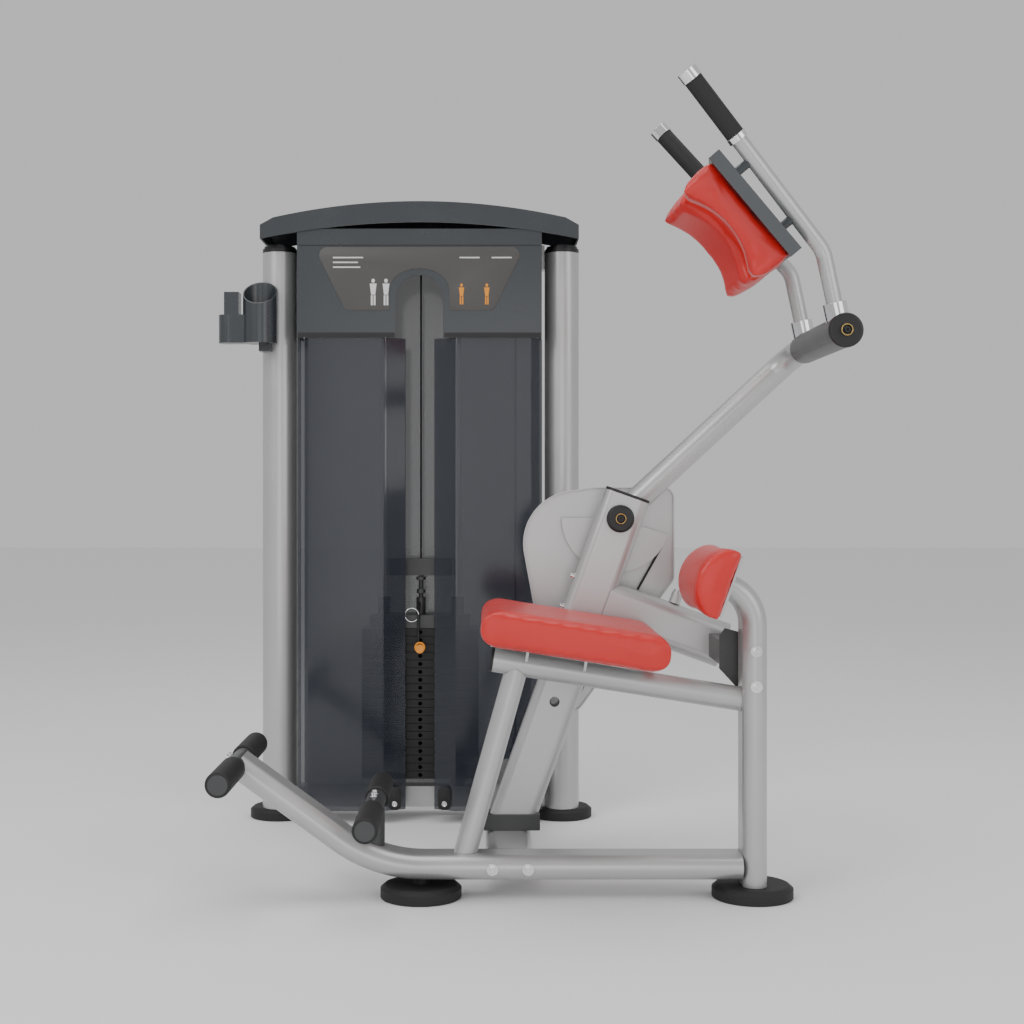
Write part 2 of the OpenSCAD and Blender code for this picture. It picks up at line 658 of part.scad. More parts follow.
module at_tip(s) {
    x = unit(cross([0, 1, 0], handle_dir(s)));
    along(leg_tip(s), x, cross(handle_dir(s), x), handle_dir(s)) children();
}
module at_leg(s) {
    u = unit(leg_bend(s) - leg_foot(s));
    along(leg_foot(s), cross([0, 1, 0], u), [0, 1, 0], u) children();
}
tube_bore = yoke_tube_d + 2 * weld_gap;
module yoke_chrome() color(chrome) for (s = [-1, 1]) {
    difference() {
        at_leg(s) translate([0, 0, 20]) cylinder(d = collar_d, h = sleeve_d / 2 + collar_h - 20);
        at_leg(s) cylinder(d = tube_bore, h = sleeve_d / 2 + collar_h + 1);
        sleeve_clear();
    }
    at_tip(s) difference() {
        translate([0, 0, -grip_cap - grip_len - grip_ring])
            cylinder(d = grip_d + 3, h = grip_ring - weld_gap);
        translate([0, 0, -grip_cap - grip_len - grip_ring - 1])
            cylinder(d = tube_bore, h = grip_ring + 2);
    }
    at_tip(s) difference() {
        translate([0, 0, -grip_cap]) cylinder(d = grip_d + 4, h = grip_cap + 3);
        translate([0, 0, -grip_cap - 1]) cylinder(d = tube_bore, h = grip_cap);
    }
}

module yoke_tube(s) color(silver) difference() {
    path = [leg_foot(s), leg_bend(s), leg_tip(s) - (1 + weld_gap) * handle_dir(s)];
    bent_bar(path, 60) disc(yoke_tube_d);
    bent_bar(path, 60) disc(yoke_tube_d - 2 * tube_wall);
    sleeve_clear();
}
module yoke_tube_near() yoke_tube(-1);
module yoke_tube_far() yoke_tube(1);

module handle_grips() color(rubber) for (s = [-1, 1]) at_tip(s)
    translate([0, 0, -grip_cap - grip_len]) difference() {
        cylinder(d = grip_d, h = grip_len - weld_gap);
        translate([0, 0, -1]) cylinder(d = tube_bore, h = grip_len + 2);
    }

pad_start = 34;        // distance along the handle from the bend to the pad's lower end
pad_off = 48;          // distance from the handle's middle line to the pad's back
shell_t = 26;
// Local frame of one pad: x up its back, y across, z out of its front
module on_pad(s) along(yoke_bend + (pad_start + shoulder_len / 2) * yoke_t + pad_off * yoke_n
    + [0, s * shoulder_pitch / 2, 0], yoke_t, [0, 1, 0], cross(yoke_t, [0, 1, 0]))
    rotate([s * shoulder_turn, 0, 0]) children();

module shoulder_outline() {
    half = shoulder_len / 2;
    r = (half * half * 0.72 + shoulder_hollow * shoulder_hollow) / (2 * shoulder_hollow);
    difference() {
        polygon([[-half, 0], [half, 0], [half - 6, shoulder_t * 0.8], [half - 16, shoulder_t],
            [16 - half, shoulder_t], [6 - half, shoulder_t * 0.8]]);
        translate([0, shoulder_t - shoulder_hollow + r]) circle(r, $fn = 120);
    }
}
module shoulder_pads() color(red) for (s = [-1, 1]) on_pad(s)
    translate([0, shoulder_w / 2, seat_gap]) rotate([90, 0, 0]) linear_extrude(shoulder_w)
        shoulder_outline();

module handle_clear(s) bent_bar([leg_bend(s) - 20 * handle_dir(s), leg_tip(s)], 0)
    disc(yoke_tube_d + 2 * weld_gap);
shell_out = 26;        // how far a pad's shell reaches past the pad towards the handle
module pad_shells() color(charcoal) for (s = [-1, 1]) {
    difference() {
        on_pad(s) translate([-shoulder_len / 2 - 2, s > 0 ? -shoulder_w / 2 : -shoulder_w / 2 - shell_out,
            -shell_t]) cube([shoulder_len + 4, shoulder_w + shell_out, shell_t]);
        handle_clear(s);
    }
    for (at = [0.22, 0.78]) {
        c = leg_bend(s) + (pad_start + at * shoulder_len) * yoke_t
            + [0, s * splay * (pad_start + at * shoulder_len) / yoke_grip_reach, 0];
        difference() {
            bent_bar([c, c + (pad_off - 4) * yoke_n], 0) disc(18);
            handle_clear(s);
        }
    }
}

// ---- tower -------------------------------------------------------------------
half_pitch = column_pitch / 2;
column_in = half_pitch - column_w / 2;
module column(s) color(silver) translate([tower_x + s * half_pitch, tower_y, foot_pad_h + weld_gap])
    linear_extrude(column_top - foot_pad_h - weld_gap) difference() {
        stadium(column_w, column_d);
        stadium(column_w - 2 * tube_wall, column_d - 2 * tube_wall);
    }
module column_left() column(-1);
module column_right() column(1);

module column_caps() for (s = [-1, 1])
    translate([tower_x + s * half_pitch, tower_y, column_top + weld_gap]) {
        linear_extrude(10) stadium(column_w, column_d);
        translate([0, 0, 10]) linear_extrude(6) stadium(column_w - 8, column_d - 8);
        translate([0, 0, 16]) linear_extrude(4) stadium(column_w - 26, column_d - 26);
        translate([0, 0, -18]) linear_extrude(18)
            stadium(column_w - 2 * tube_wall - 2 * weld_gap, column_d - 2 * tube_wall - 2 * weld_gap);
    }

module tower_feet() color(rubber) for (s = [-1, 1])
    floor_pad(tower_x + s * half_pitch, tower_y, tower_pad_d);

tower_beam_z = 28;
tower_beam_h = 52;
module box_tube(size) difference() {
    cube(size, center = true);
    cube([size.x + 2, size.y - 2 * tube_wall, size.z - 2 * tube_wall], center = true);
}
module tower_base_beam() color(silver)
    translate([tower_x, tower_y, tower_beam_z + tower_beam_h / 2])
        box_tube([2 * column_in - 2 * weld_gap, 50, tower_beam_h]);

stack_y = tower_y - 10;
top_beam_y = stack_y + 13;
module tower_top_beam() color(silver)
    translate([tower_x, top_beam_y + 25, top_pulley_z])
        difference() {
            box_tube([2 * column_in - 2 * weld_gap, 50, 60]);
            for (x = [0, cable_x - tower_x - 2 * pulley_r]) translate([x + pulley_r, 0, 0])
                rotate([90, 0, 0]) cylinder(d = axle_d + 0.4, h = 80, center = true);
        }
axle_d = 12;

crown_steps = 24;
function arch(x, half, top, rise) = top - rise * (x / half) * (x / half);
crown_end = 24;      // reach of the slope at each end of the crown
module arched(half, top, rise, low, low_rise) polygon(concat(
    [for (i = [0:crown_steps]) let (x = half * (1 - 2 * i / crown_steps))
        [x, arch(x, half, top, rise) - 0.45 * max(0, abs(x) - half + crown_end)]],
    [for (i = [0:crown_steps]) let (x = half * (2 * i / crown_steps - 1))
        [x, arch(x, half, low, low_rise)]]));
crown_z = 1462;
crown_y0 = tower_y - 108 - sheet_t - seat_gap;
module crown() color(charcoal) translate([tower_x, crown_y0, 0]) difference() {
    y_plate(0, crown_d) arched(crown_w / 2, crown_top, crown_rise, crown_z + crown_rise - 10, crown_rise - 6);
    y_plate(sheet_t, crown_d - 2 * sheet_t) arched(crown_w / 2 - sheet_t, crown_top - sheet_t,
        crown_rise, crown_z + crown_rise - 30, crown_rise);
}

front_y = tower_y - 100;
housing_top = 1484;
notch_w = 118;
notch_h = 155;
module notch(w, h, z) {
    translate([-w / 2, z - 1]) square([w, h - w / 2 + 1]);
    translate([0, z + h - w / 2]) circle(w / 2);
}
module front_housing() color(charcoal) translate([tower_x, 0, 0]) difference() {
    translate([-shroud_w / 2, front_y - 8, housing_z]) cube([shroud_w, top_beam_y - seat_gap - front_y + 8, housing_top - housing_z]);
    translate([-shroud_w / 2 + sheet_t, front_y - 8 + sheet_t, housing_z - 1])
        cube([shroud_w - 2 * sheet_t, 150, housing_top - housing_z + 2]);
    y_plate(front_y - 20, 40) notch(notch_w, notch_h, housing_z);
}

// Half of the front shroud as a bent sheet, seen from above; side is -1 or 1
module sheet_bend(side) {
    o = [[side * (shroud_w / 2), front_y + 60], [side * (shroud_w / 2), front_y + 22],
        [side * (shroud_w / 2 - 27), front_y], [side * (shroud_slot / 2 + 52), front_y],
        [side * (shroud_slot / 2), front_y + 26]];
    for (i = [0:3]) hull() for (p = [o[i], o[i + 1]]) translate(p) circle(d = sheet_t, $fn = 13);
}
shroud_z = 32;
module front_shrouds() color(smoke, 0.7) difference() {
    translate([tower_x, 0, shroud_z]) linear_extrude(housing_z - shroud_z - weld_gap) {
        sheet_bend(-1);
        sheet_bend(1);
    }
    translate([tie_x - oval_w / 2 - 6, front_y - 10, 0]) cube([oval_w + 12, 80, cable_z + 30]);
}

rear_y = tower_y + 62;
flange = rear_y - top_beam_y - 50 - seat_gap;  // depth of the rear shroud's side flanges
module rear_shroud() color(smoke, 0.8) translate([tower_x, 0, shroud_z]) {
    translate([-shroud_w / 2, rear_y, 0]) cube([shroud_w, sheet_t, column_top - shroud_z + 20]);
    for (s = [-1, 1]) translate([s * (shroud_w - sheet_t) / 2 - sheet_t / 2, rear_y - flange, 0])
        cube([sheet_t, flange + 1, column_top - shroud_z + 20]);
}

// ---- weight stack --------------------------------------------------------------
rod_top = top_pulley_z - 20;
rod_foot = tower_beam_z + tower_beam_h + weld_gap;
module guide_rods() color(chrome) for (s = [-1, 1])
    translate([tower_x + s * rod_pitch / 2, stack_y, rod_foot]) {
        cylinder(d = rod_d, h = rod_top - rod_foot);
        translate([-15, -15, rod_top - rod_foot]) cube([30, 27.8, 4]);
    }
module stack_bumpers() color(rubber) for (s = [-1, 1])
    translate([tower_x + s * rod_pitch / 2, stack_y, rod_foot]) difference() {
        cylinder(d = 38, h = stack_z - rod_foot - weld_gap);
        translate([0, 0, -1]) cylinder(d = rod_d + 2 * hole_gap, h = 60);
    }

plate_t2 = plate_pitch - 1;
module plate(i) translate([tower_x, stack_y, stack_z + i * plate_pitch + plate_t2 / 2]) difference() {
    cube([plate_w, plate_d, plate_t2], center = true);
    cylinder(d = stem_d + 4 * hole_gap, h = 40, center = true);
    for (s = [-1, 1]) translate([s * rod_pitch / 2, 0, 0])
        cylinder(d = rod_d + 4 * hole_gap, h = 40, center = true);
    translate([0, -plate_d / 2 - 1, 0]) rotate([-90, 0, 0])
        cylinder(d = pin_d + 2 * hole_gap, h = plate_d / 2 + 30);
}
stays = plate_count - picked;
module weight_stack() color(rubber) for (i = [0:stays - 1]) plate(i);
module lifted_plates() color(rubber) for (i = [stays:plate_count - 1]) plate(i);

head_z = stack_z + plate_count * plate_pitch;
head_t = 32;
bush_h = 45;
lift_z = head_z + head_t + 99;
lift_h = 43;
head_w = 0.86;       // width of the head plate as a share of the plates' width
module lift_head() color(dark) {
    difference() {
        translate([tower_x, stack_y, head_z + head_t / 2])
            cube([plate_w * head_w, plate_d, head_t], center = true);
        for (s = [-1, 1]) translate([tower_x + s * rod_pitch / 2, stack_y, head_z - 1])
            cylinder(d = rod_d + 2 * run_gap, h = head_t + 2);
    }
    for (s = [-1, 1]) translate([tower_x + s * rod_pitch / 2, stack_y, head_z + head_t]) difference() {
        cylinder(d = 32, h = bush_h);
        translate([0, 0, -1]) cylinder(d = rod_d + 2 * run_gap, h = bush_h + 2);
    }
    difference() {
        translate([tower_x, stack_y, stack_z + 4]) cylinder(d = stem_d, h = lift_z - stack_z - 60);
        for (i = [0:plate_count - 1]) translate([tower_x, stack_y - 30,
            stack_z + i * plate_pitch + plate_t2 / 2]) rotate([-90, 0, 0])
            cylinder(d = pin_d + 2 * hole_gap, h = 60);
    }
    translate([tower_x, stack_y, lift_z - 60]) cylinder(d = 12, h = 62);
    translate([tower_x, stack_y, lift_z - 46]) cylinder(d = 22, h = 10, $fn = 6);
    translate([tower_x, stack_y, lift_z - 12]) cylinder(d = 24, h = 8, $fn = 6);
    translate([tower_x - rod_pitch / 2 + rod_d / 2 + 4, stack_y - 12, lift_z])
        cube([rod_pitch - rod_d - 8, 24, lift_h]);
}

pin_z = stack_z + stays * plate_pitch + plate_t2 / 2;
module selector_pin() color([0.95, 0.55, 0.1]) {
    y_rod(tower_x, pin_z, stack_y - plate_d / 2 - 14, stack_y + 22, pin_d);
    y_rod(tower_x, pin_z, stack_y - plate_d / 2 - 24, stack_y - plate_d / 2 - 12, 22);
}

lanyard_y = stack_y - plate_d / 2 - 16;
module lanyard() color(rubber) {
    path = [[tower_x - 4, stack_y - stem_d / 2 - 1.8, lift_z - 70],
        [tower_x - 4, lanyard_y, lift_z - 100], [tower_x - 4, lanyard_y, pin_z + 14]];
    bent_bar(path, 12, [1, 0, 0]) disc(7);
}

// ---- accessory tray --------------------------------------------------------------
tray_x = tower_x - half_pitch - 38;   // middle of the cup
tray_y = tower_y - 108;
tray_z = 1198;
tray_wall = 3;
cup_r = 42;
cup_back = 158;      // height of the cup's back
cup_front = 95;      // height of the cup's front
pocket = [36, 44];
module accessory_tray() color(charcoal) difference() {
    translate([tray_x, tray_y, tray_z]) {
        cylinder(r = cup_r, h = cup_back);
        translate([-78, -22, 0]) cube([70, pocket.y, 70]);
        translate([-78, 0, 0]) cylinder(r = 24, h = 70);
        translate([-86, -22, 0]) cube([pocket.x, pocket.y, 126]);
        translate([-6, 20, -17]) cube([30, 42, 40]);
    }
    translate([tray_x, tray_y, tray_z + tray_wall]) cylinder(r = cup_r - tray_wall, h = 200);
    translate([tray_x - 83, tray_y - 19, tray_z + tray_wall]) cube([pocket.x - 6, pocket.y - 6, 200]);
    translate([tray_x, tray_y - cup_r, tray_z + cup_front])
        rotate([atan((cup_back - cup_front) / (2 * cup_r)), 0, 0]) translate([-cup_r - 2, -20, 0])
        cube([2 * cup_r + 4, 160, 120]);
    translate([tower_x - half_pitch, tower_y - column_d / 2 + column_w / 2, 0])
        cylinder(r = column_w / 2 + 2 * weld_gap, h = 2 * tray_z);
}

// ---- cable and pulleys -------------------------------------------------------------
cable_dir = [sin(cable_angle), 0, cos(cable_angle)];
cam_touch = [pivot_x, cam_y, pivot_z] + cam_r * [cable_dir.z, 0, -cable_dir.x];
cable_top = top_pulley_z + pulley_r;
cable_lead = 10;      // straight end of the fixed cable under the middle top pulley
cable_path = [[tower_x, stack_y, top_pulley_z - cable_lead], [tower_x, stack_y, cable_top],
    [cable_x, stack_y, cable_top], [cable_x, stack_y, cable_z], [cable_x, cam_y, cable_z],
    cam_touch - 4 * cable_dir];
low_axis = cross([0, 1, 0], cable_dir);
low_centre = [cable_x, cam_y, cable_z] + pulley_r * ([0, 1, 0] + cable_dir);
tower_centre = [cable_x, stack_y - pulley_r, cable_z + pulley_r];
side_centre = [cable_x - pulley_r, stack_y, top_pulley_z];
mid_centre = [tower_x + pulley_r, stack_y, top_pulley_z];
pulley_w = 16;

module pulley_wheel() color(rubber) difference() {
    rotate_extrude() polygon([[0, -pulley_w / 2], [pulley_r + 5, -pulley_w / 2],
        [pulley_r + 5, -cable_d / 2 - 1.5], [pulley_r - cable_d / 2 - 0.4, -cable_d / 2 - 0.3],
        [pulley_r - cable_d / 2 - 0.4, cable_d / 2 + 0.3], [pulley_r + 5, cable_d / 2 + 1.5],
        [pulley_r + 5, pulley_w / 2], [0, pulley_w / 2]]);
    cylinder(d = axle_d + 2 * run_gap, h = 40, center = true);
}
module at_pulley(c, axis) {
    x = abs(axis.y) > 0.5 ? [1, 0, 0] : [0, 1, 0];
    along(c, x, cross(axis, x), axis) children();
}
module pulleys_low() at_pulley(low_centre, low_axis) pulley_wheel();
module pulley_tower() at_pulley(tower_centre, [1, 0, 0]) pulley_wheel();
module pulley_side() at_pulley(side_centre, [0, 1, 0]) pulley_wheel();
module pulley_centre() at_pulley(mid_centre, [0, 1, 0]) pulley_wheel();

washer_d = 26;
module axle(far) {
    translate([0, 0, -pulley_w / 2 - 5]) cylinder(d = axle_d, h = pulley_w + 5 + far);
    translate([0, 0, -pulley_w / 2 - 5]) cylinder(d = washer_d, h = 4.7);
}
module pulley_brackets() color(dark) {
    for (c = [side_centre, mid_centre]) at_pulley(c, [0, 1, 0]) axle(13 + 45 - pulley_w / 2 - 8);
    at_pulley(tower_centre, [1, 0, 0]) axle(6);
    translate([cable_x + pulley_w / 2 + 0.3, tower_centre.y - 20, beam_z + oval_t / 2 + weld_gap])
        cube([5.7, 60, tower_centre.z + 20 - beam_z - oval_t / 2]);
    translate([cable_x + pulley_w / 2 + 0.3, tower_beam_y + weld_gap, tower_beam_z + tower_beam_h + weld_gap])
        cube([5.7, tower_centre.y + 40 - tower_beam_y - weld_gap, 30]);
    at_pulley(low_centre, low_axis) {
        axle(6);
        translate([0, 0, pulley_w / 2 + 0.3]) cylinder(d = 44, h = 5.7);
    }
    low_foot();
}
module low_foot() difference() {
    at_pulley(low_centre, low_axis) translate([-22, -120, pulley_w / 2 + 0.3]) cube([44, 120, 5.7]);
    translate([-big + cable_x, 0, beam_z + oval_t / 2 + weld_gap - big]) cube([2 * big, 3 * big, big]);
}

module pull_cable() color([0.12, 0.12, 0.13]) bent_bar(cable_path, pulley_r) disc(cable_d);

// The cable over the stack, which gets shorter as the stack rises
module lift_cable() color([0.12, 0.12, 0.13])
    translate([tower_x, stack_y, lift_z + lift_h + weld_gap])
        cylinder(d = cable_d, h = top_pulley_z - cable_lead - lift_z - lift_h - 2 * weld_gap);

base_beam();
base_tie();
front_support();
seat_beam();
rear_post();
main_post();
tube_caps();
joint_brackets();
side_rail();
frame_feet();
frame_bolts();
pad_plates();
seat_cushion();
lumbar_pad();
pivot_shaft();
pivot_cap();
cam_guard();
rest_stop();
peg_axles();
roller_upper_near();
roller_upper_far();
roller_lower_near();
roller_lower_far();
swing_arm();
arm_bushes();
arm_cam();
yoke_shaft();
shaft_cap();
yoke_sleeve();
yoke_bushes();
yoke_chrome();
yoke_tube_near();
yoke_tube_far();
handle_grips();
pad_shells();
shoulder_pads();
column_left();
column_right();
tower_feet();
tower_base_beam();
tower_top_beam();
crown();
front_housing();
front_shrouds();
rear_shroud();
guide_rods();
stack_bumpers();
weight_stack();
lifted_plates();
lift_head();
selector_pin();
lanyard();
accessory_tray();
pulley_brackets();
pulleys_low();
pulley_tower();
pulley_side();
pulley_centre();
pull_cable();
lift_cable();
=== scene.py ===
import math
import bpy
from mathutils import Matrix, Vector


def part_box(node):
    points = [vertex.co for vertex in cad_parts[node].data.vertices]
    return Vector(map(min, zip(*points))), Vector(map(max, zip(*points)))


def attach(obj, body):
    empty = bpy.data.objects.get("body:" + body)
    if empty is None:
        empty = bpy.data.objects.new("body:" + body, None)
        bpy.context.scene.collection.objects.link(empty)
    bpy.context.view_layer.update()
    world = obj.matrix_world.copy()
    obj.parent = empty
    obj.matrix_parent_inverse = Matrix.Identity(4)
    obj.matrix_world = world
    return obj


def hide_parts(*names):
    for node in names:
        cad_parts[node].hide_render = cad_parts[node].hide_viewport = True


bl_info = {
    "name": "Ab Crunch Machine",
    "version": (1, 0, 0),
    "blender": (4, 5, 0),
    "location": "3D View > Sidebar > Crunch",
    "description": "Gives the crunch machine its pads, trim, finishes and studio",
    "category": "Add Mesh",
}

import bmesh
import bpy
import numpy as np
from mathutils import Matrix, Vector

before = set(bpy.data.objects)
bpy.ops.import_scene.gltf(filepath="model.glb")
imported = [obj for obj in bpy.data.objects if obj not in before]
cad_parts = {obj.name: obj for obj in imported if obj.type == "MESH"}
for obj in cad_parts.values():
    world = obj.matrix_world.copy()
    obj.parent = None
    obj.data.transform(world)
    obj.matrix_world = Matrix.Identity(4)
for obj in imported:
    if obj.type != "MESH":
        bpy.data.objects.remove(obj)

# The CAD nodes that each material slot covers
SLOTS = {
    "frame_paint": "base_beam base_tie front_support seat_beam rear_post main_post side_rail "
    "pad_plates cam_guard rest_stop swing_arm arm_cam yoke_tube_near yoke_tube_far column_left "
    "column_right tower_base_beam tower_top_beam",
    "dark_paint": "joint_brackets peg_axles yoke_sleeve pulley_brackets lift_head",
    "chrome": "frame_bolts pivot_shaft yoke_shaft yoke_chrome guide_rods",
    "bronze": "arm_bushes yoke_bushes",
    "rubber": "frame_feet roller_upper_near roller_upper_far roller_lower_near "
    "roller_lower_far handle_grips tower_feet stack_bumpers",
    "black_plastic": "tube_caps pivot_cap shaft_cap pulleys_low pulley_tower pulley_side "
    "pulley_centre",
    "charcoal_plastic": "pad_shells crown front_housing accessory_tray",
    "smoke_sheet": "front_shrouds rear_shroud",
    "cast_plate": "weight_stack lifted_plates",
    "hook_orange": "selector_pin",
    "cable_black": "lanyard pull_cable lift_cable",
}
# base colour, roughness, metallic, grain size per metre, bump strength, tone spread, coat
FINISHES = {
    "frame_paint": ((0.50, 0.50, 0.50), 0.34, 0.55, 900, 0.03, 0.05, 0.2),
    "dark_paint": ((0.050, 0.051, 0.053), 0.40, 0.1, 900, 0.05, 0.12, 0.1),
    "chrome": ((0.80, 0.80, 0.82), 0.10, 1.0, 250, 0.01, 0.06, 0.0),
    "bronze": ((0.55, 0.38, 0.14), 0.32, 1.0, 700, 0.03, 0.10, 0.0),
    "rubber": ((0.012, 0.012, 0.012), 0.62, 0.0, 1400, 0.12, 0.25, 0.0),
    "black_plastic": ((0.010, 0.010, 0.011), 0.42, 0.0, 1100, 0.06, 0.2, 0.0),
    "charcoal_plastic": ((0.034, 0.040, 0.046), 0.26, 0.0, 1000, 0.02, 0.10, 0.25),
    "placard": ((0.072, 0.070, 0.066), 0.45, 0.0, 1200, 0.03, 0.06, 0.0),
    "print_white": ((0.70, 0.70, 0.70), 0.5, 0.0, 1200, 0.01, 0.05, 0.0),
    "print_orange": ((0.80, 0.30, 0.02), 0.5, 0.0, 1200, 0.01, 0.05, 0.0),
    "red_vinyl": ((0.62, 0.012, 0.010), 0.40, 0.0, 620, 0.08, 0.07, 0.12),
    "cast_plate": ((0.012, 0.012, 0.012), 0.48, 0.2, 500, 0.10, 0.3, 0.0),
    "hook_orange": ((0.85, 0.30, 0.01), 0.30, 0.0, 900, 0.02, 0.08, 0.1),
    "cable_black": ((0.010, 0.010, 0.011), 0.45, 0.0, 1500, 0.10, 0.2, 0.0),
}
MATERIALS = {}

SMOOTH_ANGLE = math.radians(35)  # edges flatter than this are shaded smooth
INK = 0.0002  # thickness of the printed shapes
INK_LIFT = 0.0003  # how far the printed shapes stand off the placard
SEAM_WIDTH = 0.0022  # half width of a drawn-in seam
PAD_ROOM = 0.004  # furthest that a cover may pass the box of its CAD form
CLOTH_STEPS = 20  # frames of the foam's simulation
TURN_X = Matrix.Rotation(math.pi / 2, 4, "X")  # turns an upward axis to the front
BLACK = (0, 0, 0, 1)
ROUGH_SWAY = 0.12  # how much the broad noise adds to the roughness

AIM = Vector((-0.5, 0.3, 0.7))  # what every light points at
# place, width, share of the key light's power
LIGHTS = {
    "Key": ((-3.4, -3.0, 3.6), 2.4, 1.0),
    "Fill": ((3.2, -3.4, 2.2), 3.0, 0.55),
    "Top": ((-0.4, 0.3, 4.2), 3.2, 0.7),
    "Low": ((-0.5, -4.6, 0.9), 2.2, 0.25),
}
CAMERA_AT = (-0.541, -3.190, 0.828)
CAMERA_SHIFT = (0.0234, -0.0195)


# ---- settings ---------------------------------------------------------------
class CRUNCH_PG_stage(bpy.types.PropertyGroup):
    lens: bpy.props.FloatProperty(
        name="Lens",
        description="Focal length of the camera in millimetres",
        default=54.8, min=20,
    )
    floor: bpy.props.FloatProperty(
        name="Floor",
        description="Width of the floor",
        default=40.0, min=4, unit="LENGTH",
    )
    key: bpy.props.FloatProperty(
        name="Key light",
        description="Power of the key light in watts",
        default=85.0, min=0,
    )


class CRUNCH_PG_finish(bpy.types.PropertyGroup):
    edge: bpy.props.FloatProperty(
        name="Edge",
        description="Radius of the shaded edges",
        default=0.0012, min=0.0001, unit="LENGTH",
    )
    smoke: bpy.props.FloatProperty(
        name="Smoke",
        description="How much light the shrouds stop",
        default=0.62, min=0, max=1, subtype="FACTOR",
    )
    tint: bpy.props.FloatVectorProperty(
        name="Tint",
        description="Colour of the smoked sheets",
        default=(0.026, 0.031, 0.044), subtype="COLOR",
    )


class CRUNCH_PG_pads(bpy.types.PropertyGroup):
    voxel: bpy.props.FloatProperty(
        name="Grid",
        description="Size of the pads' surface grid",
        default=0.006, min=0.003, unit="LENGTH",
    )
    pressure: bpy.props.FloatProperty(
        name="Pressure",
        description="How hard the foam presses on the cover",
        default=4.0, min=0,
    )
    most: bpy.props.FloatProperty(
        name="Swell",
        description="Furthest that the cover moves",
        default=0.005, min=0, unit="LENGTH",
    )
    seam: bpy.props.FloatProperty(
        name="Seam depth",
        description="Depth of the seams round the pads' sides",
        default=0.0016, min=0, unit="LENGTH",
    )


class CRUNCH_PG_trim(bpy.types.PropertyGroup):
    thickness: bpy.props.FloatProperty(
        name="Placard",
        description="Thickness of the placard",
        default=0.0012, min=0.0004, unit="LENGTH",
    )
    ring: bpy.props.FloatProperty(
        name="key_ring",
        description="Radius of the lanyard's ring",
        default=0.017, min=0.008, unit="LENGTH",
    )


# ---- shared parts -------------------------------------------------------------
def detail_group():
    """A node group that gives a tone, a roughness and a bumped normal for one finish."""
    g = bpy.data.node_groups.get("surface_detail")
    if g:
        return g
    g = bpy.data.node_groups.new("surface_detail", "ShaderNodeTree")
    face = g.interface
    inputs = (("Grain", 900.0), ("Bump", 0.05), ("Spread", 0.1), ("Rough", 0.4), ("Edge", 0.001))
    for name, value in inputs:
        socket = face.new_socket(name, in_out="INPUT", socket_type="NodeSocketFloat")
        socket.default_value = value
    for name, kind in (("Tone", "Float"), ("Roughness", "Float"), ("Normal", "Vector")):
        face.new_socket(name, in_out="OUTPUT", socket_type="NodeSocket" + kind)
    n, link = g.nodes, g.links.new
    into, out = n.new("NodeGroupInput"), n.new("NodeGroupOutput")
    place = n.new("ShaderNodeTexCoord").outputs["Object"]
    fine, broad = n.new("ShaderNodeTexNoise"), n.new("ShaderNodeTexNoise")
    fine.inputs["Detail"].default_value = 3
    link(place, fine.inputs["Vector"])
    link(into.outputs["Grain"], fine.inputs["Scale"])
    broad.inputs["Scale"].default_value = 9
    broad.inputs["Detail"].default_value = 5
    link(place, broad.inputs["Vector"])
    edge = n.new("ShaderNodeBevel")
    edge.samples = 4
    link(into.outputs["Edge"], edge.inputs["Radius"])
    bump = n.new("ShaderNodeBump")
    bump.inputs["Distance"].default_value = 0.0006
    link(into.outputs["Bump"], bump.inputs["Strength"])
    link(fine.outputs["Fac"], bump.inputs["Height"])
    link(edge.outputs["Normal"], bump.inputs["Normal"])
    link(bump.outputs["Normal"], out.inputs["Normal"])
    low = n.new("ShaderNodeMath")
    low.operation = "SUBTRACT"
    low.inputs[0].default_value = 1
    link(into.outputs["Spread"], low.inputs[1])
    tone = n.new("ShaderNodeMapRange")
    link(broad.outputs["Fac"], tone.inputs["Value"])
    tone.inputs["From Min"].default_value = 0.3
    tone.inputs["From Max"].default_value = 0.7
    link(low.outputs["Value"], tone.inputs["To Min"])
    link(tone.outputs["Result"], out.inputs["Tone"])
    sway = n.new("ShaderNodeMath")
    sway.operation = "MULTIPLY_ADD"
    link(broad.outputs["Fac"], sway.inputs[0])
    sway.inputs[1].default_value = ROUGH_SWAY
    link(into.outputs["Rough"], sway.inputs[2])
    link(sway.outputs["Value"], out.inputs["Roughness"])
    return g


def base_material(name, colour, grain, bump, spread, rough, edge):
    """A material with the shared detail group. Returns it, its group node and its shader."""
    m = bpy.data.materials.new(name)
    m.use_nodes = True
    n, link = m.node_tree.nodes, m.node_tree.links.new
    shader = n["Principled BSDF"]
    detail = n.new("ShaderNodeGroup")
    detail.node_tree = detail_group()
    values = {"Grain": grain, "Bump": bump, "Spread": spread, "Rough": rough, "Edge": edge}
    for socket, value in values.items():
        detail.inputs[socket].default_value = value
    mix = n.new("ShaderNodeMix")
    mix.data_type = "RGBA"
    mix.inputs[6].default_value = BLACK
    mix.inputs[7].default_value = (*colour, 1)
    link(detail.outputs["Tone"], mix.inputs["Factor"])
    link(mix.outputs[2], shader.inputs["Base Color"])
    link(detail.outputs["Roughness"], shader.inputs["Roughness"])
    link(detail.outputs["Normal"], shader.inputs["Normal"])
    MATERIALS[name] = m
    return m, detail, shader


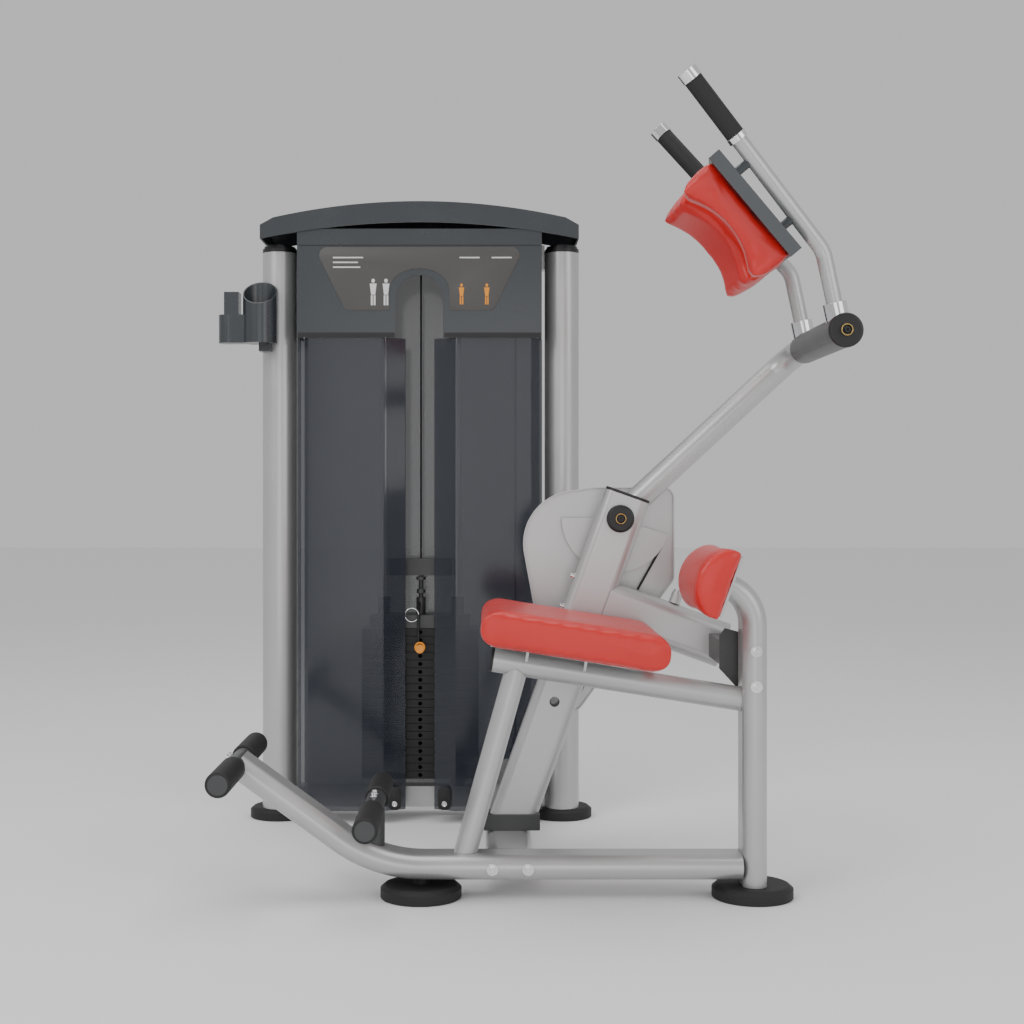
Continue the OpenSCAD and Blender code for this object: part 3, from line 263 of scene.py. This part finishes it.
def finish(name):
    """The material of one slot."""
    if name in MATERIALS:
        return MATERIALS[name]
    colour, rough, metal, grain, bump, spread, coat = FINISHES[name]
    edge = bpy.context.scene.crunch_finish.edge
    # Half of what the noise can add comes off first, so that the mean stays as listed
    low = rough - ROUGH_SWAY / 2
    m, detail, shader = base_material(name, colour, grain, bump, spread, low, edge)
    shader.inputs["Metallic"].default_value = metal
    shader.inputs["Coat Weight"].default_value = coat
    shader.inputs["Coat Roughness"].default_value = 0.2
    if name == "red_vinyl":
        grain_of_hide(m, detail, shader)
    return m


def grain_of_hide(m, detail, shader):
    """Pebbled grain and a faint sheen, for the vinyl."""
    n, link = m.node_tree.nodes, m.node_tree.links.new
    cell = n.new("ShaderNodeTexVoronoi")
    cell.feature = "DISTANCE_TO_EDGE"
    cell.inputs["Scale"].default_value = 520
    link(n.new("ShaderNodeTexCoord").outputs["Object"], cell.inputs["Vector"])
    pebble = n.new("ShaderNodeBump")
    pebble.inputs["Strength"].default_value = 0.12
    pebble.inputs["Distance"].default_value = 0.0006
    link(cell.outputs["Distance"], pebble.inputs["Height"])
    link(detail.outputs["Normal"], pebble.inputs["Normal"])
    link(pebble.outputs["Normal"], shader.inputs["Normal"])
    shader.inputs["Sheen Weight"].default_value = 0.05


def smoke():
    """The smoked sheet of the shrouds, which lets some light through."""
    if "smoke_sheet" in MATERIALS:
        return MATERIALS["smoke_sheet"]
    s = bpy.context.scene.crunch_finish
    m, detail, shader = base_material("smoke_sheet", s.tint, 14, 0.004, 0.08, 0.06, 0.0008)
    shader.inputs["Alpha"].default_value = s.smoke
    return m


def add(name, bm, material, body="frame", smooth=True):
    """Makes an object of a finished bmesh, riding on a body."""
    bmesh.ops.recalc_face_normals(bm, faces=bm.faces)
    for f in bm.faces:
        f.smooth = smooth
    mesh = bpy.data.meshes.new(name)
    bm.to_mesh(mesh)
    bm.free()
    if smooth:
        mesh.set_sharp_from_angle(angle=SMOOTH_ANGLE)
    obj = bpy.data.objects.new(name, mesh)
    bpy.context.scene.collection.objects.link(obj)
    mesh.materials.append(material)
    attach(obj, body)
    return obj


def bevel(bm, edges, offset, segments):
    bmesh.ops.bevel(
        bm, geom=edges, offset=offset, segments=segments, profile=0.5, affect="EDGES", material=-1
    )


def prism(bm, outline, y, depth, soft=0.0):
    """A plate in the x-z plane from an outline, its front at y, with soft front edges."""
    verts = [bm.verts.new((x, y, z)) for x, z in outline]
    face = bm.faces.new(verts)
    made = bmesh.ops.extrude_face_region(bm, geom=[face])["geom"]
    back = [v for v in made if isinstance(v, bmesh.types.BMVert)]
    bmesh.ops.translate(bm, vec=(0, depth, 0), verts=back)
    if soft:
        front = [e for e in bm.edges if all(abs(v.co.y - y) < 1e-6 and v in verts for v in e.verts)]
        bevel(bm, front, soft, 2)


def rectangle(left, right, low, high):
    return [(left, low), (right, low), (right, high), (left, high)]


def rounded(points, radius, steps=6):
    """An outline whose corners are rounded."""
    out = []
    for i, p in enumerate(points):
        a, b, c = Vector(points[i - 1]), Vector(p), Vector(points[(i + 1) % len(points)])
        u, v = (a - b).normalized(), (c - b).normalized()
        half = u.angle(v) / 2
        cut = min(radius / math.tan(half), (a - b).length * 0.45, (c - b).length * 0.45)
        r = cut * math.tan(half)
        mid = b + (u + v).normalized() * (r / math.sin(half))
        start, end = b + u * cut - mid, b + v * cut - mid
        for k in range(steps + 1):
            out.append(tuple(mid + start.lerp(end, k / steps).normalized() * r))
    return out


def ring(bm, centre, radius, wire, matrix, around=32, section=10):
    """A round wire ring: a small circle spun about an axis."""
    made = bmesh.ops.create_circle(bm, segments=section, radius=wire)["verts"]
    bmesh.ops.rotate(bm, verts=made, cent=(0, 0, 0), matrix=Matrix.Rotation(math.pi / 2, 3, "X"))
    bmesh.ops.translate(bm, verts=made, vec=(radius, 0, 0))
    edges = list({e for v in made for e in v.link_edges})
    bmesh.ops.spin(
        bm,
        geom=made + edges,
        cent=(0, 0, 0),
        axis=(0, 0, 1),
        angle=2 * math.pi,
        steps=around,
        use_merge=True,
    )
    bmesh.ops.transform(bm, matrix=Matrix.Translation(centre) @ matrix, verts=bm.verts)


def disc(bm, radius, depth, segments):
    bmesh.ops.create_cone(
        bm, cap_ends=True, segments=segments, radius1=radius, radius2=radius, depth=depth
    )


def screw(bm, at, matrix, radius, height):
    """A socket screw: a domed head with a hollow."""
    disc(bm, radius, height, 24)
    bm.normal_update()
    rim = [e for f in bm.faces if f.normal.z > 0.9 for e in f.edges]
    bevel(bm, rim, height * 0.3, 3)
    top = max((f for f in bm.faces if len(f.verts) > 20), key=lambda f: f.calc_center_median().z)
    bmesh.ops.inset_region(bm, faces=[top], thickness=radius * 0.4)
    bmesh.ops.translate(bm, verts=list(top.verts), vec=(0, 0, -height * 0.5))
    bmesh.ops.transform(bm, matrix=Matrix.Translation(at) @ matrix, verts=bm.verts)


# ---- soft pads ------------------------------------------------------------------
def soft_pad(name, node, body, seams):
    """A cushion: the CAD form is rounded, pressed out by its foam as cloth, then seamed.
    seams is a list of (point, direction) planes whose line is drawn in on the cover."""
    scene = bpy.context.scene
    s = scene.crunch_pads
    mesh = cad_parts[node].data.copy()
    mesh.name = name
    obj = bpy.data.objects.new(name, mesh)
    scene.collection.objects.link(obj)
    grid = obj.modifiers.new("Grid", "REMESH")
    grid.mode = "VOXEL"
    grid.voxel_size = s.voxel
    ease = obj.modifiers.new("Ease", "SMOOTH")
    ease.factor = 0.5
    ease.iterations = 14
    settle(obj)
    start = points(obj.data)
    cloth = obj.modifiers.new("Foam", "CLOTH")
    cloth.settings.quality = 4
    cloth.settings.tension_stiffness = 20
    cloth.settings.compression_stiffness = 20
    cloth.settings.bending_stiffness = 2
    cloth.settings.use_pressure = True
    cloth.settings.uniform_pressure_force = s.pressure
    cloth.settings.effector_weights.gravity = 0
    cloth.point_cache.frame_start = 1
    cloth.point_cache.frame_end = CLOTH_STEPS
    for f in range(1, CLOTH_STEPS + 1):
        scene.frame_set(f)
        bpy.context.view_layer.update()
    settle(obj)
    scene.frame_set(1)
    moved = points(obj.data) - start
    far = np.linalg.norm(moved, axis=1, keepdims=True)
    moved *= np.minimum(1, s.most / np.maximum(far, 1e-9))
    place(obj.data, start + moved)
    fine = obj.modifiers.new("Fine", "SUBSURF")
    fine.levels = fine.render_levels = 1
    settle(obj)
    lo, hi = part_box(node)
    p = points(obj.data)
    normals = np.zeros(len(obj.data.vertices) * 3)
    obj.data.vertices.foreach_get("normal", normals)
    normals = normals.reshape(-1, 3)
    for at, way in seams:
        d = (p - np.array(at)) @ np.array(way)
        p = p - normals * (s.seam * np.exp(-((d / SEAM_WIDTH) ** 2)))[:, None]
    p = np.minimum(np.maximum(p, np.array(lo) - PAD_ROOM), np.array(hi) + PAD_ROOM)
    place(obj.data, p)
    obj.data.shade_smooth()
    obj.data.materials.clear()
    obj.data.materials.append(finish("red_vinyl"))
    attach(obj, body)
    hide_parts(node)


def side_seams(box, inset):
    """The planes of the two seams that run along a pad's sides."""
    lo, hi = box
    return [((0, lo[1] + inset, 0), (0, 1, 0)), ((0, hi[1] - inset, 0), (0, 1, 0))]


def points(mesh):
    flat = np.zeros(len(mesh.vertices) * 3)
    mesh.vertices.foreach_get("co", flat)
    return flat.reshape(-1, 3)


def place(mesh, p):
    mesh.vertices.foreach_set("co", p.reshape(-1))
    mesh.update()


def settle(obj):
    """Puts the modifiers' result into the mesh."""
    graph = bpy.context.evaluated_depsgraph_get()
    made = bpy.data.meshes.new_from_object(obj.evaluated_get(graph))
    obj.modifiers.clear()
    obj.data = made


# ---- operators ------------------------------------------------------------------
class CRUNCH_OT_finish(bpy.types.Operator):
    """Give every hard CAD piece its finish"""

    bl_idname = "crunch.finish"
    bl_label = "Finish the Frame"

    def execute(self, context):
        for slot, names in SLOTS.items():
            material = smoke() if slot == "smoke_sheet" else finish(slot)
            for name in names.split():
                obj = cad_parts[name]
                if not obj.material_slots:
                    raise RuntimeError(f"{name} has no material slot")
                for s in obj.material_slots:
                    s.material = material
        return {"FINISHED"}


class CRUNCH_OT_seat_pad(bpy.types.Operator):
    """Make the seat cushion"""

    bl_idname = "crunch.seat_pad"
    bl_label = "Seat Cushion"

    def execute(self, context):
        seams = side_seams(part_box("seat_cushion"), inset=0.022)
        soft_pad("seat_cushion", "seat_cushion", "frame", seams)
        return {"FINISHED"}


class CRUNCH_OT_lumbar_pad(bpy.types.Operator):
    """Make the lumbar pad"""

    bl_idname = "crunch.lumbar_pad"
    bl_label = "Lumbar Pad"

    def execute(self, context):
        seams = side_seams(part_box("lumbar_pad"), inset=0.02)
        soft_pad("lumbar_pad", "lumbar_pad", "frame", seams)
        return {"FINISHED"}


class CRUNCH_OT_shoulder_pads(bpy.types.Operator):
    """Make the two hollowed shoulder pads"""

    bl_idname = "crunch.shoulder_pads"
    bl_label = "Shoulder Pads"

    def execute(self, context):
        soft_pad("shoulder_pads", "shoulder_pads", "yoke", [])
        return {"FINISHED"}


class CRUNCH_OT_housing_trim(bpy.types.Operator):
    """Make the placard, its plain generic shapes and the strips on the housing"""

    bl_idname = "crunch.housing_trim"
    bl_label = "Housing Trim"

    def execute(self, context):
        t = context.scene.crunch_trim.thickness
        lo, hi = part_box("front_housing")
        mid, y, low = (lo[0] + hi[0]) / 2, lo[1], lo[2]
        face = y - t - INK_LIFT
        notch, rise, dome = 0.075, 0.172, 0.055
        wide, narrow, foot, top = 0.262, 0.185, low + 0.068, low + 0.225
        corners = [(narrow, foot), (wide, top), (-wide, top), (-narrow, foot)]
        turns = [math.pi * k / 12 for k in range(12, -1, -1)]
        arch = [(notch * math.cos(a), low + rise - dome + dome * math.sin(a)) for a in turns]
        bm = bmesh.new()
        outline = [(mid + x, z) for x, z in rounded(corners, 0.02)]
        cut = [(mid - notch, foot)] + [(mid + x, z) for x, z in arch] + [(mid + notch, foot)]
        prism(bm, outline + cut, y - t, t * 0.8, t * 0.3)
        add("placard_plate", bm, finish("placard"))
        bm = bmesh.new()
        band = rectangle(mid - 0.30, mid + 0.30, top + 0.004, top + 0.0055)
        prism(bm, band, y - t, t * 0.8)
        add("housing_band", bm, finish("black_plastic"))
        bm = bmesh.new()
        for side in (-1, 1):
            a, b = sorted((side * 0.062, side * 0.302))
            prism(bm, rectangle(mid + a, mid + b, low + 0.001, low + 0.012), y - 0.002, 0.0018)
        add("housing_strip", bm, finish("black_plastic"))
        bm = bmesh.new()
        # start, length and row of each bar
        bars = ((-0.215, 0.075, 0), (-0.215, 0.062, 1), (-0.215, 0.068, 2), (0.1, 0.05, 0), (0.18, 0.05, 0))
        for x, length, row in bars:
            z = top - 0.028 - 0.012 * row
            prism(bm, rectangle(mid + x, mid + x + length, z, z + 0.0035), face, INK)
        for x in (-0.115, -0.083):
            figure(bm, mid + x, foot + 0.012, face, 0.066)
        add("printed_lines", bm, finish("print_white"), smooth=False)
        bm = bmesh.new()
        for x in (0.085, 0.148):
            figure(bm, mid + x + 0.02, foot + 0.014, face, 0.052)
        add("printed_figures", bm, finish("print_orange"), smooth=False)
        return {"FINISHED"}


def figure(bm, x, z, y, tall):
    """A plain standing figure as flat shapes: a head, a body and two legs."""
    w = tall * 0.26
    head = rectangle(x - w * 0.25, x + w * 0.25, z + tall * 0.85, z + tall)
    prism(bm, rounded(head, w * 0.24), y, INK)
    waist, shoulder = z + tall * 0.4, z + tall * 0.82
    body = [(x - w * 0.3, waist), (x + w * 0.3, waist), (x + w * 0.5, shoulder), (x - w * 0.5, shoulder)]
    prism(bm, body, y, INK)
    for s in (-1, 1):
        a, b = sorted((x + s * w * 0.06, x + s * w * 0.34))
        prism(bm, rectangle(a, b, z, z + tall * 0.38), y, INK)


class CRUNCH_OT_slot_tabs(bpy.types.Operator):
    """Make the dark tabs with screws at the foot of the shroud's slot"""

    bl_idname = "crunch.slot_tabs"
    bl_label = "Slot Tabs"

    def execute(self, context):
        lo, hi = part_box("front_shrouds")
        mid, y = (lo[0] + hi[0]) / 2, lo[1]
        bm = bmesh.new()
        for side in (-1, 1):
            a, b = sorted((side * 0.046, side * 0.078))
            corners = rounded(rectangle(a, b, lo[2] + 0.002, lo[2] + 0.06), 0.012)
            prism(bm, [(mid + x, z) for x, z in corners], y + 0.001, 0.006, 0.0015)
        add("slot_tabs", bm, finish("black_plastic"))
        for side, name in ((-1, "slot_screw_left"), (1, "slot_screw_right")):
            bm = bmesh.new()
            screw(bm, (mid + side * 0.062, y - 0.001, lo[2] + 0.018), TURN_X, 0.007, 0.005)
            add(name, bm, finish("chrome"))
        return {"FINISHED"}


class CRUNCH_OT_pin_rings(bpy.types.Operator):
    """Make the key ring on the lanyard and the ring of the selector pin"""

    bl_idname = "crunch.pin_rings"
    bl_label = "Pin Rings"

    def execute(self, context):
        radius = context.scene.crunch_trim.ring
        lo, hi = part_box("lanyard")
        bm = bmesh.new()
        ring(bm, (lo[0] - radius + 0.004, lo[1] + 0.006, hi[2] - 0.03), radius, 0.0012, TURN_X)
        add("key_ring", bm, finish("chrome"), body="lift")
        low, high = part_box("selector_pin")
        bm = bmesh.new()
        at = ((low[0] + high[0]) / 2, low[1] + 0.002, (low[2] + high[2]) / 2 + 0.004)
        ring(bm, at, 0.0115, 0.0024, TURN_X)
        add("pin_ring", bm, finish("hook_orange"), body="pin")
        return {"FINISHED"}


class CRUNCH_OT_roller_trim(bpy.types.Operator):
    """Make the grey end discs of the foot rollers and the ring round the pivot caps"""

    bl_idname = "crunch.roller_trim"
    bl_label = "Roller and Cap Trim"

    def execute(self, context):
        for node, body in (("roller_upper_near", "roller_un"), ("roller_lower_near", "roller_ln")):
            lo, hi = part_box(node)
            bm = bmesh.new()
            disc(bm, 0.0195, 0.001, 48)
            bevel(bm, list(bm.edges), 0.0003, 1)
            at = ((lo[0] + hi[0]) / 2, lo[1] - 0.0002, (lo[2] + hi[2]) / 2)
            bmesh.ops.transform(bm, matrix=Matrix.Translation(at) @ TURN_X, verts=bm.verts)
            add(node + "_end", bm, finish("dark_paint"), body=body)
        for node, body in (("pivot_cap", "frame"), ("shaft_cap", "arm")):
            lo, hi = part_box(node)
            bm = bmesh.new()
            at = ((lo[0] + hi[0]) / 2, lo[1] + 0.0015, (lo[2] + hi[2]) / 2)
            ring(bm, at, 0.0105, 0.0012, TURN_X)
            add(node + "_ring", bm, finish("bronze"), body=body)
        return {"FINISHED"}


class CRUNCH_OT_stage(bpy.types.Operator):
    """Set the floor, the lights and the camera"""

    bl_idname = "crunch.stage"
    bl_label = "Stage"

    def execute(self, context):
        s = context.scene.crunch_stage
        bm = bmesh.new()
        bmesh.ops.create_grid(bm, x_segments=1, y_segments=1, size=s.floor / 2)
        mesh = bpy.data.meshes.new("Floor")
        bm.to_mesh(mesh)
        bm.free()
        floor = bpy.data.objects.new("Floor", mesh)
        m = bpy.data.materials.new("floor")
        m.use_nodes = True
        shader = m.node_tree.nodes["Principled BSDF"]
        shader.inputs["Base Color"].default_value = (0.9, 0.9, 0.9, 1)
        shader.inputs["Roughness"].default_value = 0.7
        mesh.materials.append(m)
        context.scene.collection.objects.link(floor)
        for name, (at, size, share) in LIGHTS.items():
            light = bpy.data.lights.new(name, "AREA")
            light.energy = s.key * share
            light.size = size
            lamp = bpy.data.objects.new(name, light)
            lamp.location = at
            lamp.rotation_euler = (AIM - Vector(at)).to_track_quat("-Z", "Y").to_euler()
            context.scene.collection.objects.link(lamp)
        world = bpy.data.worlds.new("Studio")
        world.use_nodes = True
        sky = world.node_tree.nodes["Background"]
        sky.inputs["Color"].default_value = (1, 1, 1, 1)
        sky.inputs["Strength"].default_value = 0.62
        context.scene.world = world
        data = bpy.data.cameras.new("Camera")
        data.lens = s.lens
        data.sensor_width = 36
        data.shift_x, data.shift_y = CAMERA_SHIFT
        data.clip_end = 100
        cam = bpy.data.objects.new("Camera", data)
        cam.location = CAMERA_AT
        cam.rotation_euler = (math.pi / 2, 0, 0)
        context.scene.collection.objects.link(cam)
        context.scene.camera = cam
        return {"FINISHED"}


class CRUNCH_PT_panel(bpy.types.Panel):
    """The machine's settings and the operators that build it"""

    bl_idname = "CRUNCH_PT_panel"
    bl_label = "Ab Crunch Machine"
    bl_space_type = "VIEW_3D"
    bl_region_type = "UI"
    bl_category = "Crunch"

    def draw(self, context):
        for group, operators in GROUPS.items():
            box = self.layout.box()
            settings = getattr(context.scene, group)
            for name in settings.__annotations__:
                box.prop(settings, name)
            for op in operators:
                box.operator(op)


GROUPS = {
    "crunch_finish": ("crunch.finish", "crunch.roller_trim"),
    "crunch_pads": ("crunch.seat_pad", "crunch.lumbar_pad", "crunch.shoulder_pads"),
    "crunch_trim": ("crunch.housing_trim", "crunch.slot_tabs", "crunch.pin_rings"),
    "crunch_stage": ("crunch.stage",),
}
SETTINGS = {
    "crunch_stage": CRUNCH_PG_stage,
    "crunch_finish": CRUNCH_PG_finish,
    "crunch_pads": CRUNCH_PG_pads,
    "crunch_trim": CRUNCH_PG_trim,
}
CLASSES = (
    *SETTINGS.values(),
    CRUNCH_OT_finish,
    CRUNCH_OT_seat_pad,
    CRUNCH_OT_lumbar_pad,
    CRUNCH_OT_shoulder_pads,
    CRUNCH_OT_housing_trim,
    CRUNCH_OT_slot_tabs,
    CRUNCH_OT_pin_rings,
    CRUNCH_OT_roller_trim,
    CRUNCH_OT_stage,
    CRUNCH_PT_panel,
)


def register():
    for c in CLASSES:
        bpy.utils.register_class(c)
    for name, group in SETTINGS.items():
        setattr(bpy.types.Scene, name, bpy.props.PointerProperty(type=group))


def unregister():
    for name in SETTINGS:
        delattr(bpy.types.Scene, name)
    for c in reversed(CLASSES):
        bpy.utils.unregister_class(c)


def main():
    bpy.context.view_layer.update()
    register()
    bpy.ops.crunch.finish()
    bpy.ops.crunch.seat_pad()
    bpy.ops.crunch.lumbar_pad()
    bpy.ops.crunch.shoulder_pads()
    bpy.ops.crunch.housing_trim()
    bpy.ops.crunch.slot_tabs()
    bpy.ops.crunch.pin_rings()
    bpy.ops.crunch.roller_trim()
    bpy.ops.crunch.stage()


if __name__ == "__main__":
    main()
